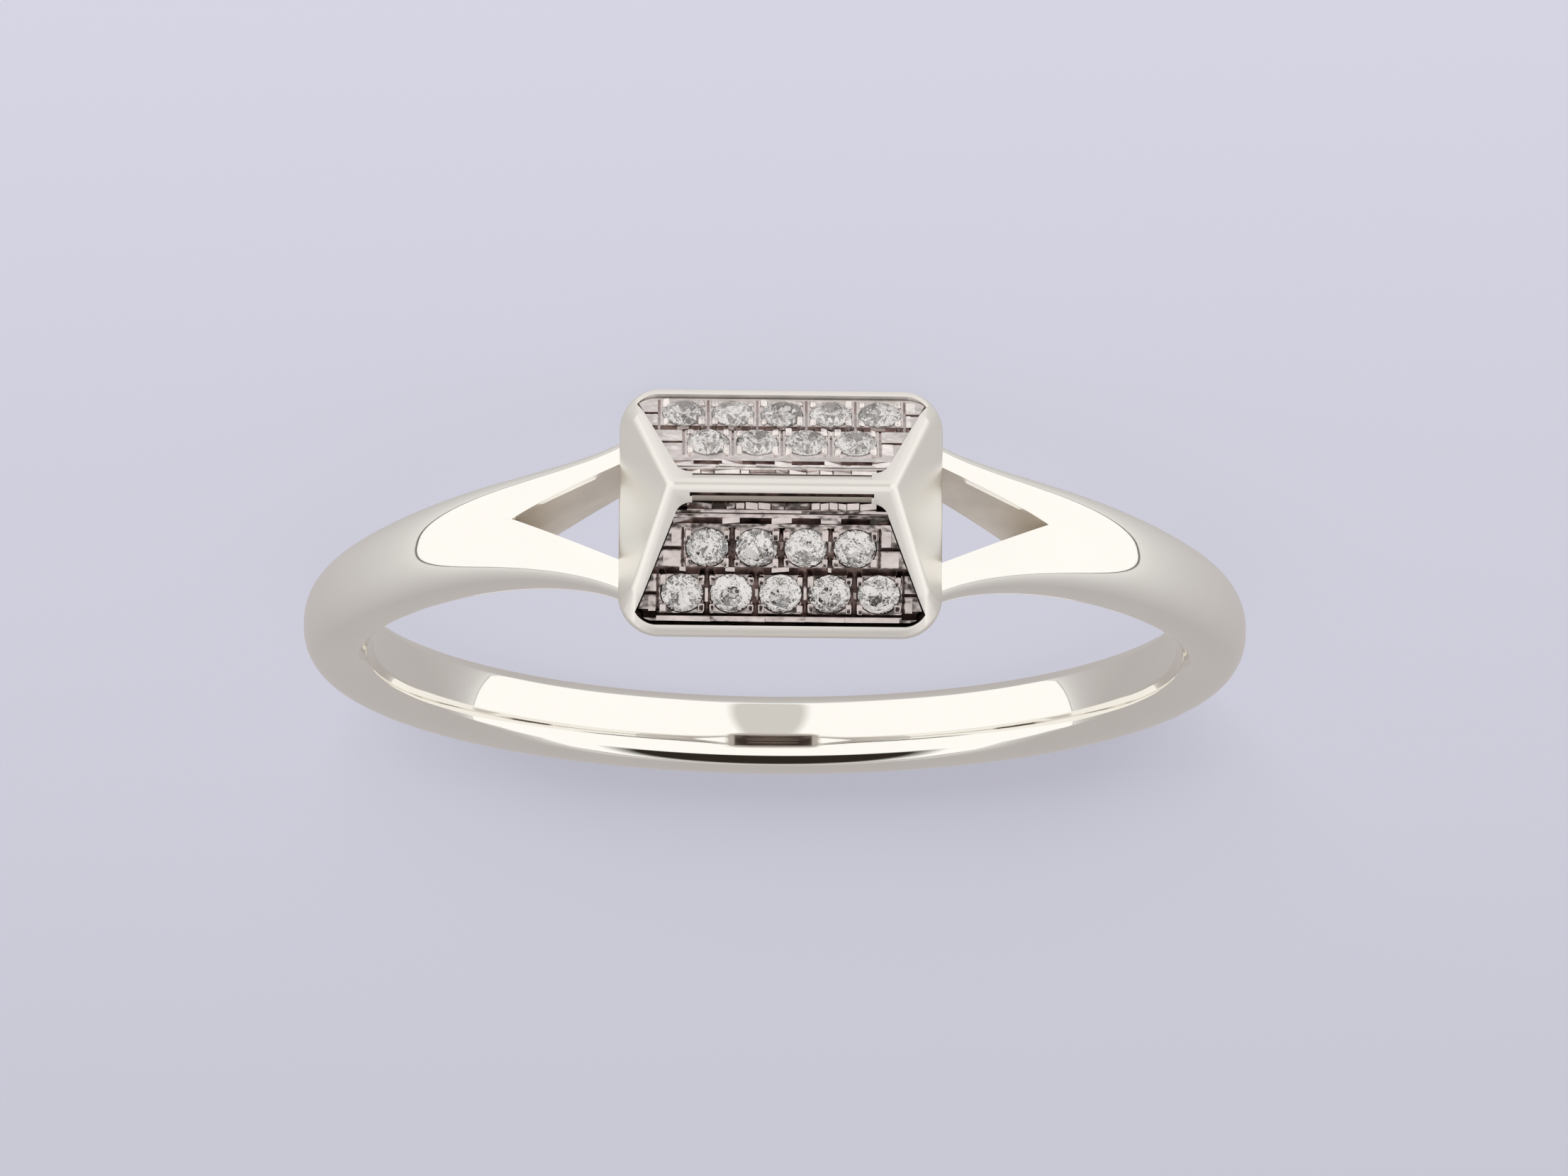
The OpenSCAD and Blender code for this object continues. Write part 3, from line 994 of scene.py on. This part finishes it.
def seat_tools(slope, stones, side, top, d):
    """A stepped cone for each stone, with painted shade at its bottom on the near
    plate.
    """
    seats = bmesh.new()
    radius = d / 2 + (0.02 if side > 0 else 0.008)
    mouth, foot = top - 0.03, top - 0.03 - d * 0.46
    for x, y in slope.places(stones, side):
        disc = bmesh.ops.create_circle(
            seats, cap_ends=True, segments=40, radius=radius
        )["verts"]
        bmesh.ops.translate(seats, verts=disc, vec=(x, y, 1.0))
        face = disc[0].link_faces[0]
        for z, grow in ((mouth, 1.0), (foot, 0.08)):
            drop = z - face.verts[0].co.z
            moved, (face,) = push(seats, [face], (0, 0, drop))
            bmesh.ops.scale(
                seats,
                verts=moved,
                vec=(grow, grow, 1),
                space=Matrix.Translation((-x, -y, 0)),
            )
    caps = [f for f in seats.faces if len(f.verts) > 8]
    inner = [f for f in caps if foot + 0.01 < f.calc_center_median().z < 0.9]
    bmesh.ops.delete(seats, geom=inner, context="FACES_ONLY")
    # The bottoms of the near seats are painted shade.
    for face in seats.faces:
        if side > 0 and face.calc_center_median().z < top - 0.04:
            face.material_index = 1
    return seats


def tile(bm, x0, x1, y0, y1, top, rng, lean, pitch=0.0):
    """A small block whose top leans its own way."""
    verts = box(bm, x0, x1, y0, y1, top - 0.25, top)
    dx, dy = rng.uniform(-lean, lean), rng.uniform(-lean, lean) - pitch
    for v in verts:
        if v.co.z > top - 0.01:
            v.co.z += dx * (v.co.x - (x0 + x1) / 2) + dy * (v.co.y - (y0 + y1) / 2)


def claw(bm, x, y, sx, sy, half, reach, top, rng):
    """A rounded block that leans over a stone's edge."""
    w, t = half + rng.uniform(-0.012, 0.008), 0.13 + rng.uniform(-0.03, 0.015)
    verts = box(bm, -w, w, -t, t, top - 0.28, top)
    lean = rng.uniform(-0.25, 0.25), rng.uniform(-0.2, 0.2)
    for v in verts:
        if v.co.z > top - 0.01:
            v.co.z += lean[0] * v.co.x + lean[1] * v.co.y
            v.co.x = v.co.x * 0.86 - sx * 0.015
            v.co.y = v.co.y * 0.86 - sy * 0.02
        else:
            v.co.x += sx * 0.02
            v.co.y += sy * 0.03
    edges = {e for v in verts for e in v.link_edges}
    bmesh.ops.translate(bm, verts=verts, vec=(x + sx * reach, y + sy * 0.325, 0))
    soften(bm, list(edges), 0.035)


def edge_blocks(bm, edge, top, rng):
    """Cells beside the ridge, and the two rails under them."""
    x = -CELLS_HALF
    while x < CELLS_HALF - 0.06:
        w = rng.choice((0.16, 0.24, 0.34, 0.5))
        z = top - rng.uniform(0.0, 0.05)
        tile(bm, x, min(x + w, CELLS_HALF), edge - 0.185, edge - 0.055, z, rng, 0.3)
        x += w + rng.uniform(0.015, 0.04)
    for x in (-2.28, -1.3, -0.35, 0.4, 1.35):
        tile(bm, x, x + 0.9, edge - 0.255, edge - 0.2, top + 0.01, rng, 0.06)
        tile(bm, x, x + 0.88, edge - 0.36, edge - 0.29, top + 0.012, rng, 0.06)


def row_blocks(bm, slope, p, stones, side, rng):
    """Blocks between the stones and at the ends of their rows."""
    top, edge = -p.recess, -slope.top
    pitch = stones.pitch / MM
    for row, (y, count) in enumerate(zip(slope.rows(stones, side), ROW_COUNTS)):
        for i in range(count + 1):
            x = (i - count / 2) * pitch
            if row == 0:
                # Uprights over and under the gaps between the stones.
                right = x + rng.uniform(0.12, 0.22)
                low, high = edge - 0.5, edge - 0.38
                tile(bm, x - 0.2, right, low, high, top - 0.02, rng, 0.25)
                left = x - rng.uniform(0.02, 0.2)
                right = x + rng.uniform(0.02, 0.2)
                tile(bm, left, right, y - 0.58, y - 0.49, top - 0.1, rng, 0.4)
            if side > 0 and 0 < i < count:
                # Slivers left standing in the slits.
                v = y + rng.uniform(-0.08, 0.05)
                x += rng.uniform(-0.015, 0.015)
                tile(bm, x - 0.03, x + 0.03, v - 0.13, v + 0.13, top - 0.04, rng, 0.5)
        for sx in (-1, 1):
            for low, high in ((0.06, 0.4), (-0.4, -0.08)):
                margin = 0.1 if row == 1 and low < 0 else 0.03
                near = sx * (count / 2 * pitch + 0.04)
                far = sx * (slope.across(-(y + high), p.gap) - margin)
                x0, x1 = min(near, far), max(near, far)
                tile(bm, x0, x1, y + low, y + high, top + 0.02, rng, 0.04, 0.06)


def border_bar(bm, y, top, rng):
    """The bar beside the rim, in lengths that lean towards the finger."""
    x = -BAR_HALF - 0.02
    while x < BAR_HALF - 0.1:
        w = rng.choice((0.5, 0.8, 1.1))
        lean = rng.choice((0.08, 0.13, 0.16))
        tile(bm, x, min(x + w, BAR_HALF), y - 0.105, y, top + 0.015, rng, 0.03, lean)
        x += w + 0.012


def plate(context, name, side):
    _, h, p, stones = sizes(context)
    slope = Slope(h)
    rng = random.Random(11 if side > 0 else 12)
    top = -p.recess
    bm = prism(slope.outline(p.gap), top - p.thickness, top)
    bm = cut(context, bm, plate_tools(slope, p, stones, side))
    edge_blocks(bm, -slope.top, top, rng)
    row_blocks(bm, slope, p, stones, side, rng)
    if side > 0:
        border = slope.rows(stones, side)[1] - stones.diameter / MM / 2
        border_bar(bm, border - 0.09, top, rng)
    reach = 0.402 if side > 0 else 0.375
    for x, y in slope.places(stones, side):
        for sx in (-1, 1):
            for sy in (-1, 1):
                height = top + 0.08 + rng.uniform(-0.03, 0.02)
                claw(bm, x, y, sx, sy, p.prong / 2, reach, height, rng)
    move(bm, slope.matrix(side))
    trim_closed(bm, (0, -side * (WEB_T / 2 + p.gap), 0), (0, side, 0))
    return finish_piece(context, bm, name, PLATE_FINISHES[side], 35)


class RING_OT_plates(Operator):
    """Build the two engraved plates with their prongs"""

    bl_idname = "ring.plates"
    bl_label = "Plates"

    def execute(self, context):
        for word, side in SIDES.items():
            piece = plate(context, "stone_plate_" + word, side)
            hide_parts("pave_plate_" + word)
        return {"FINISHED"}


# ---- the stones

LIFT = {1: 0.0, -1: 0.03}  # how far the stones stand above their plates


def brilliant(stones):
    """A round brilliant drawn tight round its rings of corners."""
    d = stones.diameter / MM
    r = d / 2
    crown, girdle = stones.crown * d, stones.girdle * d
    pavilion, table = stones.pavilion * d, stones.table * r
    half = math.radians(22.5)
    star_r, lower_r = 0.76 * r, 0.25 * r
    star_z = crown * (r - star_r * math.cos(half)) / (r - table)
    lower_z = -girdle - pavilion * (1 - lower_r * math.cos(half) / r)
    bm = bmesh.new()
    for radius, z, count, turn in (
        (table, crown, 8, 0.0),
        (star_r, star_z, 8, half),
        (r, 0.0, 16, 0.0),
        (r, -girdle, 16, 0.0),
        (lower_r, lower_z, 8, half),
    ):
        bmesh.ops.create_circle(
            bm,
            segments=count,
            radius=radius,
            matrix=Matrix.Translation((0, 0, z)) @ Matrix.Rotation(turn, 4, "Z"),
        )
    bmesh.ops.delete(bm, geom=bm.edges[:], context="EDGES_FACES")
    bm.verts.new((0, 0, -girdle - pavilion))
    wrap(bm, 0.3)
    return bm


class RING_OT_stones(Operator):
    """Set the eighteen brilliants, each turned its own way"""

    bl_idname = "ring.stones"
    bl_label = "Stones"

    def execute(self, context):
        _, h, p, stones = sizes(context)
        slope = Slope(h)
        rng = random.Random(stones.seed)
        for word, side in SIDES.items():
            for i, (x, y) in enumerate(slope.places(stones, side), 1):
                seat = (
                    slope.matrix(side)
                    @ Matrix.Translation((x, y, LIFT[side] - p.recess))
                    @ Matrix.Rotation(rng.uniform(0, math.pi / 4), 4, "Z")
                )
                bm = brilliant(stones)
                move(bm, seat)
                name = "%s_%d" % (word, i)
                stone = finish_piece(context, bm, "brilliant_" + name, ["cut_diamond"])
                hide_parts("diamond_" + name)
        return {"FINISHED"}


# ---- the stage

TENT = (1.0, 0.99, 0.97)
TENT_STRENGTH = 1.12
TENT_RADIUS = 0.6  # metres
LAMP_DISTANCE = 1.25  # metres
LAMP_SIZE = (0.7, 0.24)  # metres
# Tones of the card under the ring, from its middle to its rim: darker in the middle as
# a painted shadow of the ring, lighter outwards, with a dark rim.
CARD = [
    (0.0, (0.52, 0.49, 0.485), 1),
    (0.22, (0.52, 0.49, 0.485), 1),
    (0.5, (0.64, 0.62, 0.61), 1),
    (0.95, (0.84, 0.83, 0.82), 1),
    (0.965, (0.12, 0.11, 0.10), 1),
    (1.0, (0.12, 0.11, 0.10), 1),
]
# Ovals in the tent: distance and half sizes in mm, direction, tone, and the
# share of the oval that is full before it fades.
OVALS = {
    "opening": (250, (165, 72), (0, -0.978, 0.21), (0.03, 0.024, 0.018), 0.7),
    "apron": (252, (150, 26), (0, -0.991, -0.125), (0.56, 0.54, 0.51), 0.93),
    "gap": (250, (50, 185), (0.016, 0.5, 0.866), (0.70, 0.68, 0.65), 0.75),
    "ground": (250, (75, 60), (0, 0.986, -0.154), (0.66, 0.65, 0.65), 0.6),
}
# Lamps that light the floor: watts, height of their direction, and whether
# they cast a shadow. Most of the light casts none, as in a light tent.
LAMPS = {"softbox": (46.5, 0.25, False), "key": (22.5, 0.16, True)}
SPLIT_LAMPS = {"fill_left": -1, "fill_right": 1}
PHOTO = (2212, 1659)  # pixels
AIM = (1093, 890)  # pixel that the camera looks straight at


def glow(name, tones, strength=1.0):
    """Light that varies from the middle of an oval to its rim.

    Each tone is a reach from 0 to 1, a colour and how much it covers.
    """
    material, nodes, links, shader = new_material(name)
    nodes.remove(shader)
    material.cycles.emission_sampling = "NONE"
    reach = add(nodes, "Attribute")
    reach.attribute_name = "reach"
    ramp = add(nodes, "ValToRGB")
    steps = ramp.color_ramp.elements
    while len(steps) < len(tones):
        steps.new(0.5)
    for step, (at, tint, cover) in zip(steps, tones):
        step.position = at
        step.color = (*tint, cover)
    links.new(reach.outputs["Fac"], ramp.inputs["Fac"])
    light = add(nodes, "Emission", Strength=strength)
    links.new(ramp.outputs["Color"], light.inputs["Color"])
    mix = add(nodes, "MixShader")
    links.new(ramp.outputs["Alpha"], mix.inputs["Fac"])
    links.new(add(nodes, "BsdfTransparent").outputs["BSDF"], mix.inputs[1])
    links.new(light.outputs["Emission"], mix.inputs[2])
    links.new(mix.outputs["Shader"], nodes["Material Output"].inputs["Surface"])
    return material


def hide(piece, *rays):
    for ray in rays:
        setattr(piece, "visible_" + ray, False)


def hang(context, bm, name, material):
    """Links a part of the studio that shows in the polish alone."""
    piece = link(context, bm, name)
    piece.data.materials.append(material)
    hide(piece, "camera", "diffuse", "shadow", "volume_scatter")
    return piece


def oval(context, name, centre, facing, half, tones):
    """An oval of light or shade, placed in the upright ring's millimetres."""
    bm = bmesh.new()
    bmesh.ops.create_circle(bm, cap_ends=True, cap_tris=True, segments=96, radius=1.0)
    reach = bm.verts.layers.float.new("reach")
    for v in bm.verts:
        v[reach] = v.co.length
    z = Vector(facing).normalized()
    x = (Vector((1, 0, 0)) - z * z.x).normalized()
    y = z.cross(x)
    turned = Matrix((x * half[0], y * half[1], z)).transposed().to_4x4()
    move(bm, lay_matrix(context) @ Matrix.Translation(centre) @ turned)
    hang(context, bm, name, glow(name, tones))


def lay_floor(context):
    bm = bmesh.new()
    side = context.scene.ring_studio.floor_size
    bmesh.ops.create_grid(bm, x_segments=1, y_segments=1, size=side / 2)
    bmesh.ops.translate(bm, verts=bm.verts, vec=(0, 0, -0.02 * MM))
    floor = link(context, bm, "floor")
    floor.data.materials.append(finishes(context)["pale_floor"])
    hide(floor, "glossy", "transmission")


def hang_tent(context):
    """The pale tent that the ring mirrors, with its cards and openings."""
    bm = bmesh.new()
    bmesh.ops.create_icosphere(bm, subdivisions=4, radius=TENT_RADIUS)
    reach = bm.verts.layers.float.new("reach")
    for v in bm.verts:
        v[reach] = 0.5
    hang(context, bm, "tent", glow("tent", [(0, TENT, 1), (1, TENT, 1)], TENT_STRENGTH))
    oval(context, "card", (0, -6, -11.3), (0, 0, -1), (66, 50), CARD)
    for name, (distance, half, toward, tone, full) in OVALS.items():
        centre = [c * distance for c in toward]
        tones = [(0, tone, 1), (full, tone, 1), (1, tone, 0)]
        oval(context, name, centre, toward, half, tones)


def hang_shade(context):
    """A hidden bar in the band's back, which gives the band its soft shadow."""
    bm = bmesh.new()
    bar = bmesh.ops.create_circle(bm, cap_ends=True, segments=12, radius=0.6)["verts"]
    bmesh.ops.scale(bm, verts=bar, vec=(0.85, 1.3, 1))
    bmesh.ops.translate(bm, verts=bar, vec=(9.2, 0, 0))
    rotate(bm, bar, 30, "Y")
    sweep(bm, everything(bm), (0, 1, 0), 120, 36)
    move(bm, lay_matrix(context))
    shade = hang(context, bm, "shade", finishes(context)["groove_gold"])
    hide(shade, "glossy", "transmission")
    shade.visible_shadow = True
    shaded = bpy.data.collections.new("shaded by the key")
    shaded.objects.link(shade)
    return shaded


def area_lamp(context, name, shape, size, watts, tint):
    lamp = bpy.data.lights.new(name, "AREA")
    lamp.shape = shape
    lamp.size, lamp.size_y = size
    lamp.energy = watts
    lamp.color = tint
    lit = bpy.data.objects.new(name, lamp)
    hide(lit, "camera")
    context.scene.collection.objects.link(lit)
    return lit


def hang_lamps(context):
    # Small lamps in the splits, which the head's ends and the walls mirror.
    for name, side in SPLIT_LAMPS.items():
        size = (1.9 * MM, 1.44 * MM)
        lit = area_lamp(context, name, "ELLIPSE", size, 6.0e-6, (0.68, 0.73, 0.76))
        turned = Vector((-side * 0.2, 0, -1)).to_track_quat("Z", "Y")
        lit.matrix_world = (
            lay_matrix(context)
            @ Matrix.Translation((side * 4.2, 0, 9.3))
            @ turned.to_matrix().to_4x4()
            @ Matrix.Scale(1 / MM, 4)
        )
    shaded = hang_shade(context)
    for name, (watts, rise, shadow) in LAMPS.items():
        away = Vector((0.1, -0.95, rise)).normalized()
        tint = (1.0, 0.99, 0.98)
        lit = area_lamp(context, name, "RECTANGLE", LAMP_SIZE, watts, tint)
        lit.location = away * LAMP_DISTANCE
        lit.rotation_euler = away.to_track_quat("Z", "Y").to_euler()
        hide(lit, "glossy", "transmission")
        lit.data.use_shadow = shadow
        if shadow:
            lit.light_linking.blocker_collection = shaded


def aim_camera(context):
    """The photograph's view of the upright ring, turned as the ring lies."""
    studio = context.scene.ring_studio
    to_world = lay_matrix(context)
    e = studio.elevation
    turn = Matrix.Rotation(studio.yaw, 3, "Y").inverted()
    back = turn @ Vector((0, -math.cos(e), math.sin(e)))
    up = turn @ Vector((0, math.sin(e), math.cos(e)))
    right = turn @ Vector((1, 0, 0))
    c, s = math.cos(-studio.roll), math.sin(-studio.roll)
    right, up = right * c + up * s, up * c - right * s
    eye = to_world @ (back * studio.distance / MM)
    axes = [(to_world.to_3x3() @ v).normalized() for v in (right, up, back)]
    camera = bpy.data.cameras.new("camera")
    camera.sensor_width = 36.0
    camera.lens = studio.lens
    camera.shift_x = (PHOTO[0] / 2 - AIM[0]) / PHOTO[0]
    camera.shift_y = (AIM[1] - PHOTO[1] / 2) / PHOTO[0]
    camera.clip_start, camera.clip_end = 0.01, 10.0
    view = bpy.data.objects.new("camera", camera)
    context.scene.collection.objects.link(view)
    turned = Matrix(axes).transposed().to_4x4()
    view.matrix_world = Matrix.Translation(eye) @ turned
    context.scene.camera = view


class RING_OT_stage(Operator):
    """Lay the floor, hang the lights and set up the camera"""

    bl_idname = "ring.stage"
    bl_label = "Stage"

    def execute(self, context):
        lay_floor(context)
        hang_tent(context)
        hang_lamps(context)
        aim_camera(context)
        scene = context.scene
        world = bpy.data.worlds.new("studio")
        world.use_nodes = True
        scene.world = world
        sky = world.node_tree.nodes["Background"].inputs
        sky["Color"].default_value = (0.86, 0.86, 0.93, 1)
        sky["Strength"].default_value = 0.08
        scene.view_settings.view_transform = "Standard"
        scene.cycles.caustics_reflective = False
        scene.cycles.caustics_refractive = False
        scene.cycles.max_bounces = 24
        scene.cycles.glossy_bounces = 16
        scene.cycles.transmission_bounces = 24
        return {"FINISHED"}


# ---- the panel


PIECES = (RING_OT_band, RING_OT_head, RING_OT_plates, RING_OT_stones, RING_OT_stage)


class RING_PT_panel(Panel):
    """Sizes, finishes and pieces of the ring"""

    bl_idname = "RING_PT_panel"
    bl_label = "Diamond Ring"
    bl_space_type = "VIEW_3D"
    bl_region_type = "UI"
    bl_category = "Ring"

    def draw(self, context):
        layout = self.layout
        for name, group in GROUPS.items():
            column = layout.box().column(align=True)
            held = getattr(context.scene, name)
            for field in group.__annotations__:
                column.prop(held, field)
        for piece in PIECES:
            layout.operator(piece.bl_idname)


CLASSES = (*GROUPS.values(), *PIECES, RING_PT_panel)


def register():
    for item in CLASSES:
        bpy.utils.register_class(item)
    for name, group in GROUPS.items():
        setattr(bpy.types.Scene, name, PointerProperty(type=group))


def unregister():
    for name in GROUPS:
        delattr(bpy.types.Scene, name)
    for item in reversed(CLASSES):
        bpy.utils.unregister_class(item)


def main():
    register()
    bpy.ops.ring.band()
    bpy.ops.ring.head()
    bpy.ops.ring.plates()
    bpy.ops.ring.stones()
    bpy.ops.ring.stage()


if __name__ == "__main__":
    main()
